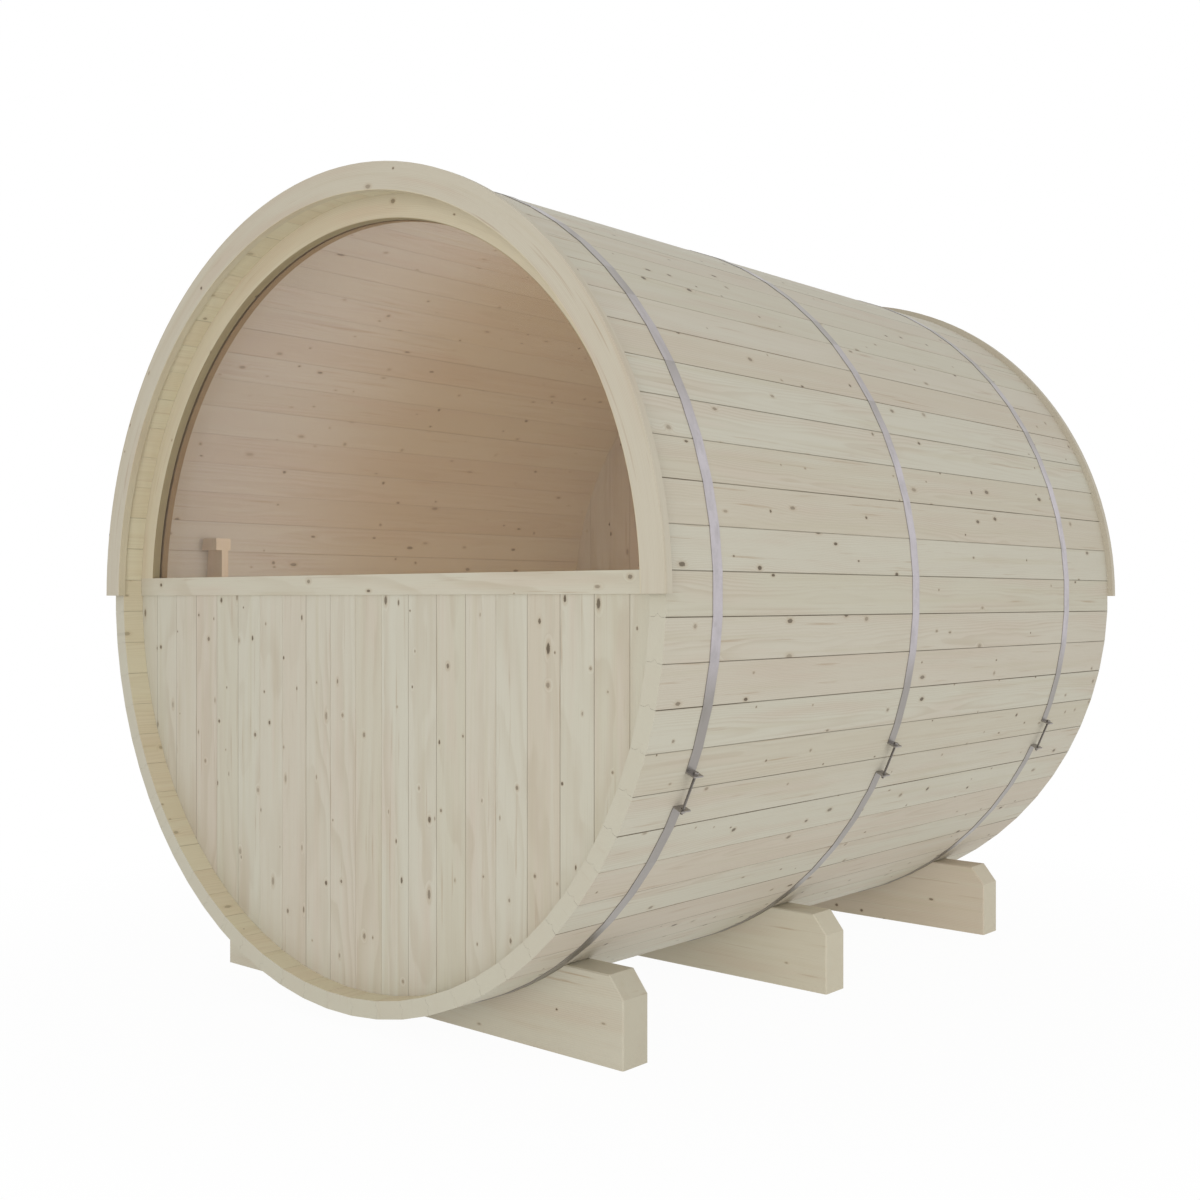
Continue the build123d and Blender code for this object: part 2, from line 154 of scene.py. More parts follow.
class SaunaWood(bpy.types.PropertyGroup):
    """Board sizes and colours of the spruce"""

    stave_count: bpy.props.IntProperty(
        name="Staves", description="Staves round the barrel, one centred on +X", default=68, min=3)
    board_width: length_prop("Board cover", "Cover width of the upright wall boards", 0.0966)
    board_offset: length_prop("Board joint", "Place of one wall board joint across the barrel", -0.0125)
    door_board_width: length_prop("Door board", "Width of one board of the door leaf", 0.099)
    ring_gap: length_prop("Ring gap", "Mean distance between growth rings", 0.0034)
    knot_radius: length_prop("Knot radius", "Radius of a large knot", 0.0064)
    knot_spacing: length_prop("Knot spacing", "Size of the cells that may hold a knot", 0.082)
    cream: colour_prop("Cream", "Palest sapwood", (200, 196, 180))
    rose: colour_prop("Rose", "Pinkish boards and streaks", (198, 186, 170))
    straw: colour_prop("Straw", "Yellower heartwood", (191, 184, 162))
    latewood: colour_prop("Latewood", "Dark side of a growth ring", (176, 164, 141))
    resin: colour_prop("Resin", "Short brown streaks along the grain", (164, 140, 112))
    knot: colour_prop("Knot", "Heart of a knot", (86, 73, 55))
    knot_rim: colour_prop("Knot rim", "Stained wood round a knot", (172, 152, 124))
    end_grain: colour_prop("End grain", "Sawn ends of the boards", (193, 188, 170))
    joint: colour_prop("Joint", "Shadowed dust in a board joint", (100, 87, 66))
    # Inside tint: wood that weather has not greyed, with painted warm bounce light, in the recess in front of
    # the window
    unweathered_and_bounce_tint: tint_prop("Inside tint", "Staves that weather has not greyed", (1.18, 1.13, 1.0))
    # Painted light inside the cabin: whiter painted daylight behind the window, painted warm bounce light and
    # shade deep in the cabin
    painted_daylight_tint: tint_prop("Bleached tint", "Inside of the staves behind the window", (1.2, 1.3, 1.48))
    painted_bounce_tint: tint_prop("Cabin tint", "Inside of the staves deep in the cabin", (1.02, 0.98, 0.9))
    # Places along the barrel over which the painted daylight fades into the painted warm bounce light
    daylight_fade_start: length_prop("Bleach start", "Place up to which the staves are bleached", -0.75)
    daylight_fade_end: length_prop("Bleach end", "Place from which they are not bleached", -0.05)
    trim_tint: tint_prop("Trim tint", "Half rings on the stave ends", (0.955, 0.915, 0.885))
    # Painted light: lightens and warms the trims' inner sides, which lie in shade
    trim_inner_light_tint: tint_prop("Trim inner tint", "Inner sides of the trims", (1.08, 1.04, 0.94))
    arch_tint: tint_prop("Arch tint", "Ring round the window", (1.08, 1.01, 0.91))
    # Painted shade: darkens the reveal round the pane, where shade falls in the window's recess
    reveal_shade_tint: tint_prop("Reveal tint", "Edge of the ring that the pane stands in", (0.62, 0.56, 0.45))
    # Painted light: lifts the bracket's wood far above its own paleness, standing in for daylight on it
    # through the window
    bracket_light_tint: tint_prop("Bracket tint", "Bracket inside, which is freshly planed", (1.5, 1.5, 1.52))
    sawn_tint: tint_prop("Sawn tint", "Sill, front cradle and frames, which are sawn from squared timber",
                         (0.98, 0.96, 0.935))
    # Painted light: lightens the cradles further back, which lie in the barrel's shade
    cradle_painted_light_tint: tint_prop("Cradle painted light tint", "Cradles further back, which weather has not greyed",
                              (1.11, 1.085, 1.05))
    end_share: share_prop("End share", "How far sawn ends are evened to the end grain", 0.8)
    inner_share: share_prop("Inner share", "How far inner faces are evened to the end grain", 0.3)
    inner_line: share_prop("Inner line", "Strength of the joint lines on inner faces", 0.5)
    inner_edge: length_prop("Inner edge", "Depth over which an inner face begins", 0.002)
    gloss: share_prop("Gloss", "Specular level of the planed faces", 0.3)
    relief: length_prop("Relief", "Depth of the grain's relief", 0.0004)


class SaunaSteel(bpy.types.PropertyGroup):
    """Colours of the galvanised steel, and sizes of the hoops' bolts and the hinges"""

    zinc: colour_prop("Zinc", "Bright galvanised face", (198, 192, 197))
    dull_zinc: colour_prop("Dull zinc", "Weathered galvanised face", (168, 164, 164))
    # Darkened zinc: at a hoop's foot painted shade for the shaded ground it reflects, and on the upper flats
    # a darker tone
    darkened_zinc: colour_prop("Grimy zinc", "Face that rain and splashes have dulled", (142, 137, 129))
    # Heights over which the upper flats turn darker
    upper_dark_foot: length_prop("Rain foot", "Height from which rain dulls the zinc", 1.32)
    upper_dark_top: length_prop("Rain top", "Height above which rain has dulled the zinc", 1.56)
    # Heights over which the painted shade at a hoop's foot fades out
    ground_shade_top: length_prop("Splash top", "Height that splashes reach", 0.96)
    ground_shade_foot: length_prop("Splash foot", "Height below which splashes dull the zinc", 0.78)
    spangle: length_prop("Spangle", "Size of the zinc crystals", 0.007)
    metal: share_prop("Metal", "Share of the zinc face that shines as bare metal", 0.8)
    relief: length_prop("Relief", "Depth of the zinc's relief", 0.0001)
    bolt_angle: angle_prop("Bolt angle", "How far below the axis the hoop bolts sit", 23.8)
    bolt_gap: length_prop("Lug gap", "Clear distance between the two lugs of a hoop", 0.078)
    bolt_stand: length_prop("Bolt stand", "Bolt centre line above the lugs' feet", 0.015)
    strap_seat: length_prop("Strap seat", "Clearance between the staves and a hoop", 0.0003)
    lug_thickness: length_prop("Lug", "Thickness of a lug", 0.003)
    bolt_diameter: length_prop("Bolt", "Diameter over the thread", 0.006)
    thread_pitch: length_prop("Pitch", "Distance between two thread crests", 0.001)
    thread_depth: length_prop("Thread depth", "Height of a thread crest", 0.0006)
    head_width: length_prop("Head", "Width across the flats of head and nut", 0.01)
    head_height: length_prop("Head height", "Height of head and washer together", 0.0056)
    bolt_tail: length_prop("Tail", "Thread that stands out of the nut", 0.004)
    washer_diameter: length_prop("Washer", "Outer diameter of a washer", 0.012)
    washer_thickness: length_prop("Washer thickness", "Thickness of a washer", 0.0016)
    screw_diameter: length_prop("Screw head", "Diameter of a hinge screw's head", 0.008)
    screw_rise: length_prop("Screw rise", "Height of a screw head over its plate", 0.0008)
    screw_slot: length_prop("Screw slot", "Width of the cross slot", 0.0011)
    hinge_length: length_prop("Hinge", "Length of one hinge", 0.11)
    hinge_plate: length_prop("Hinge plate", "Width of one hinge plate", 0.026)
    hinge_plate_thickness: length_prop("Plate thickness", "Thickness of a hinge plate", 0.0025)


class SaunaGlass(bpy.types.PropertyGroup):
    """Tint of the window"""

    tint: colour_prop("Tint", "Light that the bronze pane lets through", (230, 212, 203))
    film: colour_prop("Film", "Lamp light that the pane lets in and out", (203, 203, 203))
    clear: share_prop("Clear", "Share of light that dust on the pane does not scatter", 0.95)
    refraction: bpy.props.FloatProperty(
        name="Index", description="Refractive index of the pane", default=1.12, min=1)


class SaunaStage(bpy.types.PropertyGroup):
    """Camera, lamps and ground"""

    camera_place: place_prop("Camera", "Place of the camera", (2.758, -3.2997, 1.0217))
    camera_turn: angle_prop("Camera turn", "Level camera turned this far to the left of +Y", 41.09)
    lens: bpy.props.FloatProperty(
        name="Lens", description="Focal length on a 36 mm frame, in millimetres", default=43.61)
    sky: share_prop("Sky", "Even light from all round", 0.7)
    key_power: power_prop("Key lamp", "Power of the soft lamp in front", 150)
    key_size: length_prop("Key size", "Side of the soft lamp in front", 4.0)
    key_place: place_prop("Key place", "Place of the soft lamp in front", (3.4, -6.4, 1.0))
    side_power: power_prop("Side lamp", "Power of the soft lamp on the right", 38)
    side_size: length_prop("Side size", "Side of the soft lamp on the right", 4.0)
    side_place: place_prop("Side place", "Place of the soft lamp on the right", (7.0, 0.5, 2.4))
    back_power: power_prop("Back lamp", "Power of the soft lamp behind", 130)
    back_size: length_prop("Back size", "Side of the soft lamp behind", 4.0)
    back_place: place_prop("Back place", "Place of the soft lamp behind", (-3.6, 6.4, 1.4))
    cabin_place: place_prop("Cabin lamp place", "Place of the lamp behind the window", (0.1, -0.65, 1.15))
    cabin_power: power_prop("Cabin lamp", "Power of the lamp behind the window", 11.3)
    rear_cabin_place: place_prop("Rear cabin place", "Place of the lamp deep in the cabin", (0.35, 0.35, 1.0))
    rear_cabin_power: power_prop("Rear cabin lamp", "Power of the lamp deep in the cabin", 8.2)
    cabin_radius: length_prop("Cabin lamp radius", "Radius of both lamps inside the cabin", 0.2)
    floor_size: length_prop("Floor", "Side of the floor", 60.0)
    floor_colour: colour_prop("Floor colour", "Plain pale floor", (244, 244, 242))
    floor_white: share_prop("Floor white", "Share of plain white in the floor near the barrel", 0.96)
    floor_near: length_prop("Floor near", "Distance up to which the floor is near the barrel", 1.2)
    floor_far: length_prop("Floor far", "Distance from which the floor is seen as plain white", 2.6)
    floor_light: share_prop("Floor light", "Light that the floor sends up", 0.38)


# Shader nodes in short

def wire(tree, socket, value):
    """Link an input to an output, or set its plain value."""
    if isinstance(value, bpy.types.NodeSocket):
        tree.links.new(value, socket)
    elif hasattr(value, "__len__") and len(value) == 3 and socket.type == "RGBA":
        socket.default_value = (*value, 1)
    else:
        socket.default_value = value


def calc(tree, operation, *values):
    """Result of a Math node."""
    node = tree.nodes.new("ShaderNodeMath")
    node.operation = operation
    for socket, value in zip(node.inputs, values):
        wire(tree, socket, value)
    return node.outputs[0]


def total(tree, *values):
    """Sum of several values."""
    result = values[0]
    for value in values[1:]:
        result = calc(tree, "ADD", result, value)
    return result


def product(tree, *values):
    """Product of several values."""
    result = values[0]
    for value in values[1:]:
        result = calc(tree, "MULTIPLY", result, value)
    return result


def reach(tree, *sides):
    """Length of a vector given by its sides."""
    return calc(tree, "SQRT", total(tree, *[product(tree, side, side) for side in sides]))


def step(tree, value, start, end, first=0.0, last=1.0):
    """Smooth change from first to last while the value goes from start to end."""
    node = tree.nodes.new("ShaderNodeMapRange")
    node.interpolation_type = "SMOOTHSTEP"
    for name, given in (("Value", value), ("From Min", start), ("From Max", end),
                        ("To Min", first), ("To Max", last)):
        wire(tree, node.inputs[name], given)
    return node.outputs["Result"]


def point(tree, x, y, z):
    """Vector from three values."""
    node = tree.nodes.new("ShaderNodeCombineXYZ")
    for socket, value in zip(node.inputs, (x, y, z)):
        wire(tree, socket, value)
    return node.outputs[0]


def sides_of(tree, vector):
    """The three values of a vector or colour."""
    node = tree.nodes.new("ShaderNodeSeparateXYZ")
    wire(tree, node.inputs[0], vector)
    return node.outputs


def mixed(tree, share, first, second, blend="MIX"):
    """Colour between two colours."""
    node = tree.nodes.new("ShaderNodeMix")
    node.data_type = "RGBA"
    node.blend_type = blend
    wire(tree, node.inputs[0], share)
    wire(tree, node.inputs[6], first)
    wire(tree, node.inputs[7], second)
    return node.outputs[2]


def noise(tree, vector, detail=2.0, roughness=0.5):
    """Soft noise at one cycle a unit of the vector."""
    node = tree.nodes.new("ShaderNodeTexNoise")
    wire(tree, node.inputs["Vector"], vector)
    wire(tree, node.inputs["Scale"], 1.0)
    wire(tree, node.inputs["Detail"], detail)
    wire(tree, node.inputs["Roughness"], roughness)
    return node.outputs["Fac"]


def stretched_noise(tree, sides, rates, detail=2.0, roughness=0.5):
    """Soft noise with its own number of cycles a metre along each of three sides."""
    stretched = [product(tree, side, rate) for side, rate in zip(sides, rates)]
    return noise(tree, point(tree, *stretched), detail, roughness)


def chance(tree, number, salt):
    """Three values from 0 to 1 that belong to a number."""
    node = tree.nodes.new("ShaderNodeTexWhiteNoise")
    node.noise_dimensions = "1D"
    wire(tree, node.inputs["W"], total(tree, number, salt))
    return sides_of(tree, node.outputs["Color"])


def new_group(name, inputs, outputs):
    """Shader node group with float inputs and named outputs."""
    tree = bpy.data.node_groups.new(name, "ShaderNodeTree")
    for label, default in inputs:
        socket = tree.interface.new_socket(name=label, in_out="INPUT", socket_type="NodeSocketFloat")
        socket.default_value = default
    for label, kind in outputs:
        tree.interface.new_socket(name=label, in_out="OUTPUT", socket_type=kind)
    start = tree.nodes.new("NodeGroupInput")
    end = tree.nodes.new("NodeGroupOutput")
    return tree, start.outputs, end.inputs


def placed_group(tree, group, **values):
    """Outputs of a node group placed in a material or another group."""
    node = tree.nodes.new("ShaderNodeGroup")
    node.node_tree = group
    for label, value in values.items():
        wire(tree, node.inputs[label.replace("_", " ").title()], value)
    return node.outputs


# Spruce

def knot_group(wood):
    """Knots scattered over the face of a board: heart, stained rim and how far they push the rings."""
    tree, given, made = new_group(
        "Spruce knots",
        (("Along", 0.0), ("Across", 0.0), ("Share", 0.3)),
        (("Heart", "NodeSocketFloat"), ("Rim", "NodeSocketFloat"), ("Push", "NodeSocketFloat")))
    place = point(tree, given["Along"], given["Across"], 0.0)
    cells = tree.nodes.new("ShaderNodeTexVoronoi")
    cells.voronoi_dimensions = "2D"
    wire(tree, cells.inputs["Vector"], place)
    wire(tree, cells.inputs["Scale"], 1 / wood.knot_spacing)
    picks = sides_of(tree, cells.outputs["Color"])
    centre = sides_of(tree, cells.outputs["Position"])
    radius = product(tree, wood.knot_radius, step(tree, picks[1], 0.1, 1.25, 0.36, 0.98))
    stretch = step(tree, picks[2], 0.0, 1.0, 0.9, 0.42)
    off_along = product(tree, calc(tree, "SUBTRACT", given["Along"], centre[0]), stretch)
    off_across = calc(tree, "SUBTRACT", given["Across"], centre[1])
    ragged = stretched_noise(tree, (given["Along"], given["Across"], 0.0), knot_edge_rates)
    away = calc(tree, "DIVIDE", reach(tree, off_along, off_across), radius)
    away = total(tree, away, product(tree, calc(tree, "SUBTRACT", ragged, 0.5), 0.7))
    there = calc(tree, "LESS_THAN", picks[0], given["Share"])
    strength = step(tree, chance(tree, picks[0], 2.9)[0], 0.0, 1.0, 0.4, 1.0)
    wire(tree, made["Heart"], product(tree, there, strength, step(tree, away, 0.7, 1.08, 1.0, 0.0)))
    wire(tree, made["Rim"], product(tree, there, step(tree, away, 0.8, 2.2, 1.0, 0.0)))
    wire(tree, made["Push"], product(tree, there, radius, step(tree, away, 0.3, 3.2, 1.0, 0.0)))
    return tree


def joint_group():
    """Dark line along a board's edge, stronger at some joints and in some places."""
    tree, given, made = new_group(
        "Board joint",
        (("Edge", 1.0), ("Along", 0.0), ("Joint", 0.0), ("Weakest", 0.3), ("Strongest", 1.0)),
        (("Line", "NodeSocketFloat"),))
    pick = chance(tree, given["Joint"], 0.61)
    drift = stretched_noise(tree, (given["Along"], given["Joint"], 0.0), joint_rates)
    depth = step(tree, pick[0], 0.0, 1.0, given["Weakest"], given["Strongest"])
    along = step(tree, drift, 0.25, 0.62, 0.45, 1.0)
    width = step(tree, pick[1], 0.0, 1.0, 0.0014, 0.0022)
    line = step(tree, given["Edge"], product(tree, width, 0.3), width, 1.0, 0.0)
    wire(tree, made["Line"], product(tree, line, depth, along))
    return tree


def spruce_group(wood):
    """Planed spruce on a board whose own axes are given in metres; each board number has its own figure."""
    tree, given, made = new_group(
        "Planed spruce",
        (("Along", 0.0), ("Across", 0.0), ("Depth", 0.0), ("Number", 0.0), ("Knots", 0.3), ("Line", 0.0)),
        (("Colour", "NodeSocketColor"), ("Roughness", "NodeSocketFloat"), ("Height", "NodeSocketFloat")))
    cut = chance(tree, given["Number"], 0.37)
    tone = chance(tree, given["Number"], 5.83)
    along = total(tree, given["Along"], product(tree, cut[0], 29.0))
    across = given["Across"]
    layer = total(tree, given["Depth"], product(tree, given["Number"], 3.71))
    sides = (along, across, layer)
    knots = placed_group(
        tree, bpy.data.node_groups["Spruce knots"],
        along=along, across=total(tree, across, product(tree, given["Number"], 0.517)), share=given["Knots"])

    # Growth rings round a pith that lies under the face and wanders along the board
    sway = stretched_noise(tree, sides, sway_rates, 3.0)
    sway = product(tree, calc(tree, "SUBTRACT", sway, 0.5), 0.05)
    pith_across = product(tree, calc(tree, "SUBTRACT", cut[1], 0.5), 0.16)
    pith_depth = total(tree, product(tree, cut[2], 0.07), 0.018)
    taper = product(tree, given["Along"], calc(tree, "SUBTRACT", tone[2], 0.5), 0.02)
    ring_radius = total(
        tree,
        reach(tree, total(tree, across, pith_across, sway), total(tree, given["Depth"], pith_depth)),
        taper, product(tree, sway, 0.35), product(tree, knots["Push"], 0.9))
    turn = calc(tree, "FRACT", calc(tree, "DIVIDE", ring_radius, wood.ring_gap))
    late = product(tree, step(tree, turn, 0.3, 0.86), step(tree, turn, 0.9, 1.0, 1.0, 0.0))

    # Fibres, broad streaks, patches and short resin streaks, all drawn out along the board
    fibre = stretched_noise(tree, sides, fibre_rates, 3.0, 0.6)
    streak = stretched_noise(tree, sides, streak_rates, 4.0, 0.55)
    patch = stretched_noise(tree, sides, patch_rates)
    brown = stretched_noise(tree, sides, resin_rates, 3.0)

    # Tones mixed over the cream: by which pattern, between which of its values, at most how much, which tone
    colour = wood.cream
    for pattern, start, end, most, stain in (
            (tone[0], 0.3, 1.0, 0.75, wood.rose),
            (tone[1], 0.5, 1.0, 0.4, wood.straw),
            (patch, 0.47, 0.72, 0.6, wood.rose),
            (streak, 0.52, 0.72, 0.5, wood.straw),
            (streak, 0.5, 0.28, 0.6, wood.cream)):
        colour = mixed(tree, step(tree, pattern, start, end, 0.0, most), colour, stain)
    colour = mixed(tree, product(tree, late, step(tree, patch, 0.35, 0.65, 0.1, 0.34)), colour, wood.latewood)
    colour = mixed(tree, step(tree, fibre, 0.5, 0.75, 0.0, 0.22), colour, wood.latewood)
    colour = mixed(tree, step(tree, brown, 0.62, 0.78, 0.0, 0.6), colour, wood.resin)
    colour = mixed(tree, product(tree, knots["Rim"], 0.36), colour, wood.knot_rim)
    colour = mixed(tree, product(tree, knots["Heart"], 0.9), colour, wood.knot)
    wire(tree, made["Colour"], mixed(tree, given["Line"], colour, wood.joint))
    wire(tree, made["Roughness"], total(
        tree, 0.56, product(tree, fibre, 0.16), product(tree, late, -0.06),
        product(tree, knots["Heart"], -0.12)))
    wire(tree, made["Height"], total(
        tree, product(tree, late, 0.35), product(tree, fibre, 0.5), product(tree, knots["Heart"], -0.4),
        product(tree, given["Line"], -1.0)))
    return tree


def build_wood_groups(wood):
    """The spruce's node groups, built once."""
    if "Planed spruce" not in bpy.data.node_groups:
        knot_group(wood)
        joint_group()
        spruce_group(wood)


def new_material(name):
    """Material with a Principled shader."""
    material = bpy.data.materials.new(name)
    material.use_nodes = True
    return material, material.node_tree, material.node_tree.nodes["Principled BSDF"]


def object_sides(tree):
    """Object coordinates X, Y and Z of what wears a material."""
    return sides_of(tree, tree.nodes.new("ShaderNodeTexCoord").outputs["Object"])


def choose_shader(tree, share, first, second, end="Material Output"):
    """Send a mix of two shaders to the end of a tree, with this share of the second."""
    choice = tree.nodes.new("ShaderNodeMixShader")
    wire(tree, choice.inputs[0], share)
    wire(tree, choice.inputs[1], first.outputs[0])
    wire(tree, choice.inputs[2], second.outputs[0])
    wire(tree, tree.nodes[end].inputs["Surface"], choice.outputs[0])


def bump(tree, shader, height, depth):
    """Fine relief of this depth on a shader."""
    node = tree.nodes.new("ShaderNodeBump")
    node.inputs["Distance"].default_value = depth
    node.inputs["Strength"].default_value = 0.6
    wire(tree, node.inputs["Height"], height)
    wire(tree, shader.inputs["Normal"], node.outputs["Normal"])


def spruce_material(name, board_axes, end_side, knots, weakest=0.0, strongest=0.0, tint=None, inner=None):
    """Spruce finish; board_axes turns object coordinates into a board's along, across, depth, number, edge.

    Knots is the share of places that hold one, and weakest and strongest say how dark the joint lines are.
    The lines stay off the board's ends, which look along the axis numbered end_side and are plainer than its
    faces. The tint is for the whole piece; inner is the depth of a face with weaker joint lines, and what
    gives the tint of that face from the place along the board.
    """
    wood = bpy.context.scene.sauna_wood
    build_wood_groups(wood)
    material, tree, shader = new_material(name)
    along, across, depth, number, edge = board_axes(tree, *object_sides(tree))
    joint = total(tree, number, calc(tree, "GREATER_THAN", across, 0.0))
    line = placed_group(tree, bpy.data.node_groups["Board joint"], edge=edge, along=along, joint=joint,
                        weakest=weakest, strongest=strongest)
    normal = sides_of(tree, tree.nodes.new("ShaderNodeNewGeometry").outputs["True Normal"])
    on_face = 1.0
    if end_side is not None:
        on_face = step(tree, calc(tree, "ABSOLUTE", normal[end_side]), 0.6, 0.9, 1.0, 0.0)
    in_sight = 1.0
    if inner:
        inner_depth, inner_tint = inner
        in_sight = step(tree, depth, inner_depth / 2, inner_depth, 1.0, wood.inner_line)
    grain = placed_group(tree, bpy.data.node_groups["Planed spruce"], along=along, across=across, depth=depth,
                         number=number, knots=knots, line=product(tree, line["Line"], on_face, in_sight))
    colour = grain["Colour"]
    if end_side is not None:
        colour = mixed(tree, step(tree, on_face, 0.0, 1.0, wood.end_share, 0.0), colour, wood.end_grain)
    if tint:
        colour = mixed(tree, 1.0, colour, tint, "MULTIPLY")
    # Inner faces are evened towards the end grain and take the inner tint, which paints light or shade:
    # bounce light and daylight inside the staves, light on the trims' inner sides, shade on the window's
    # reveal
    if inner:
        within = product(tree, step(tree, depth, inner_depth - wood.inner_edge, inner_depth), on_face)
        colour = mixed(tree, product(tree, within, wood.inner_share), colour, wood.end_grain)
        colour = mixed(tree, within, colour, inner_tint(tree, along), "MULTIPLY")
    wire(tree, shader.inputs["Base Color"], colour)
    wire(tree, shader.inputs["Roughness"], grain["Roughness"])
    shader.inputs["Specular IOR Level"].default_value = wood.gloss
    bump(tree, shader, grain["Height"], wood.relief)
    return material


def stave_axes(tree, x, y, z):
    """Board axes of a stave: along the barrel, round it and in from its outer face."""
    wood = bpy.context.scene.sauna_wood
    stave_angle = 2 * math.pi / wood.stave_count
    rise = calc(tree, "SUBTRACT", z, axis_height)
    turn = calc(tree, "DIVIDE", calc(tree, "ARCTAN2", rise, x), stave_angle)
    nearest = calc(tree, "ROUND", turn)
    off = product(tree, calc(tree, "SUBTRACT", turn, nearest), stave_angle)
    radius = reach(tree, x, rise)
    across = product(tree, radius, calc(tree, "SINE", off))
    out = product(tree, radius, calc(tree, "COSINE", off))
    half_width = product(tree, out, math.tan(stave_angle / 2))
    edge = calc(tree, "SUBTRACT", half_width, calc(tree, "ABSOLUTE", across))
    number = calc(tree, "FLOORED_MODULO", nearest, wood.stave_count)
    return y, across, calc(tree, "SUBTRACT", stave_face, out), number, edge


def stave_inner_tint(tree, along):
    """Tint inside the staves: unweathered wood with painted warm bounce light in the recess, painted whiter
    daylight behind the window and painted warm bounce light and shade further in.
    """
    wood = bpy.context.scene.sauna_wood
    further_in = step(tree, along, wood.daylight_fade_start, wood.daylight_fade_end)
    cabin = mixed(tree, further_in, tuple(wood.painted_daylight_tint), tuple(wood.painted_bounce_tint))
    return mixed(tree, step(tree, along, window_back - 0.01, window_back), tuple(wood.unweathered_and_bounce_tint), cabin)


def board_row_axes(tree, x, y, z, width, offset):
    """Board axes of upright boards of one width, side by side along X."""
    turn = calc(tree, "DIVIDE", calc(tree, "SUBTRACT", x, offset), width)
    number = calc(tree, "FLOOR", turn)
    share = calc(tree, "SUBTRACT", calc(tree, "SUBTRACT", turn, number), 0.5)
    across = product(tree, share, width)
    edge = calc(tree, "SUBTRACT", width / 2, calc(tree, "ABSOLUTE", across))
    return z, across, y, total(tree, number, row_numbers), edge


def wall_board_axes(tree, x, y, z):
    """Board axes of the end walls' boards."""
    wood = bpy.context.scene.sauna_wood
    return board_row_axes(tree, x, y, z, wood.board_width, wood.board_offset)


def door_board_axes(tree, x, y, z):
    """Board axes of the door leaf's boards, which have a joint in the middle."""
    return board_row_axes(tree, x, y, z, bpy.context.scene.sauna_wood.door_board_width, 0.0)


def arch_axes(tree, x, y, z):
    """Board axes of a half ring of bent strips: round the barrel, and in from the trims' outer edge."""
    rise = calc(tree, "SUBTRACT", z, axis_height)
    along = product(tree, calc(tree, "ARCTAN2", rise, x), trim_outside)
    inwards = calc(tree, "SUBTRACT", trim_outside, reach(tree, x, rise))
    number = total(tree, calc(tree, "SIGN", y), arch_numbers)
    return along, total(tree, inwards, y), inwards, number, 1.0


def level_axes(tree, x, y, z):
    """Board axes of pieces that lie across the barrel; they differ by their place along it."""
    number = calc(tree, "ROUND", product(tree, y, 5.0))
    return x, calc(tree, "SUBTRACT", z, axis_height), y, total(tree, number, level_numbers), 1.0


def upright_axes(tree, x, y, z):
    """Board axes of posts and other upright pieces; they differ by their place across the barrel."""
    number = calc(tree, "ROUND", product(tree, x, 5.0))
    return z, x, y, total(tree, number, upright_numbers), 1.0


def wear(material, nodes):
    """Give CAD nodes a finish in all their slots."""
    for name in nodes:
        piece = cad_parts[name]
        if not piece.material_slots:
            piece.data.materials.append(material)
        for holder in piece.material_slots:
            holder.material = material


# Steel and glass

def steel_group(steel):
    """Galvanised face: crystals of zinc, faint rolling lines, dull patches, darker upper flats and painted
    shade at the foot.
    """
    tree, given, made = new_group(
        "Galvanised face",
        (("X", 0.0), ("Y", 0.0), ("Z", 0.0)),
        (("Colour", "NodeSocketColor"), ("Roughness", "NodeSocketFloat"), ("Height", "NodeSocketFloat")))
    sides = (given["X"], given["Y"], given["Z"])
    crystals = tree.nodes.new("ShaderNodeTexVoronoi")
    wire(tree, crystals.inputs["Vector"], point(tree, *sides))
    wire(tree, crystals.inputs["Scale"], 1 / steel.spangle)
    crystal = sides_of(tree, crystals.outputs["Color"])
    rolled = stretched_noise(tree, sides, rolled_rates, 3.0)
    patch = stretched_noise(tree, sides, dull_rates, 3.0)
    dull = total(tree, product(tree, crystal[0], 0.14), product(tree, rolled, 0.3),
                 step(tree, patch, 0.45, 0.75, 0.0, 0.4))
    colour = mixed(tree, dull, steel.zinc, steel.dull_zinc)

    # The upper flats of a hoop are darker, each by its own share, and its foot is darkened with painted shade
    # that stands in for the shaded ground it reflects
    angle = calc(tree, "ARCTAN2", calc(tree, "SUBTRACT", given["Z"], axis_height), given["X"])
    flats_a_radian = bpy.context.scene.sauna_wood.stave_count / (2 * math.pi)
    flat = calc(tree, "ROUND", product(tree, angle, flats_a_radian))
    flat_tone = step(tree, chance(tree, flat, 1.7)[0], 0.2, 0.8, 0.45, 0.8)
    painted_ground_reflection = step(tree, given["Z"], steel.ground_shade_foot, steel.ground_shade_top, 0.8, 0.0)
    upper_darkening = product(tree, step(tree, given["Z"], steel.upper_dark_foot, steel.upper_dark_top), flat_tone)
    wire(tree, made["Colour"], mixed(tree, calc(tree, "MAXIMUM", painted_ground_reflection, upper_darkening), colour, steel.darkened_zinc))
    wire(tree, made["Roughness"], total(tree, 0.3, product(tree, dull, 0.22)))
    wire(tree, made["Height"], total(tree, product(tree, rolled, 0.5), product(tree, crystal[1], 0.15)))
    return tree


def steel_material():
    """Galvanised steel of hoops, bolts and hinges, built once."""
    name = "Galvanised steel"
    if name in bpy.data.materials:
        return bpy.data.materials[name]
    steel = bpy.context.scene.sauna_steel
    group = steel_group(steel)
    material, tree, shader = new_material(name)
    x, y, z = object_sides(tree)
    face = placed_group(tree, group, x=x, y=y, z=z)
    wire(tree, shader.inputs["Base Color"], face["Colour"])
    wire(tree, shader.inputs["Roughness"], face["Roughness"])
    shader.inputs["Metallic"].default_value = steel.metal
    bump(tree, shader, face["Height"], steel.relief)
    return material


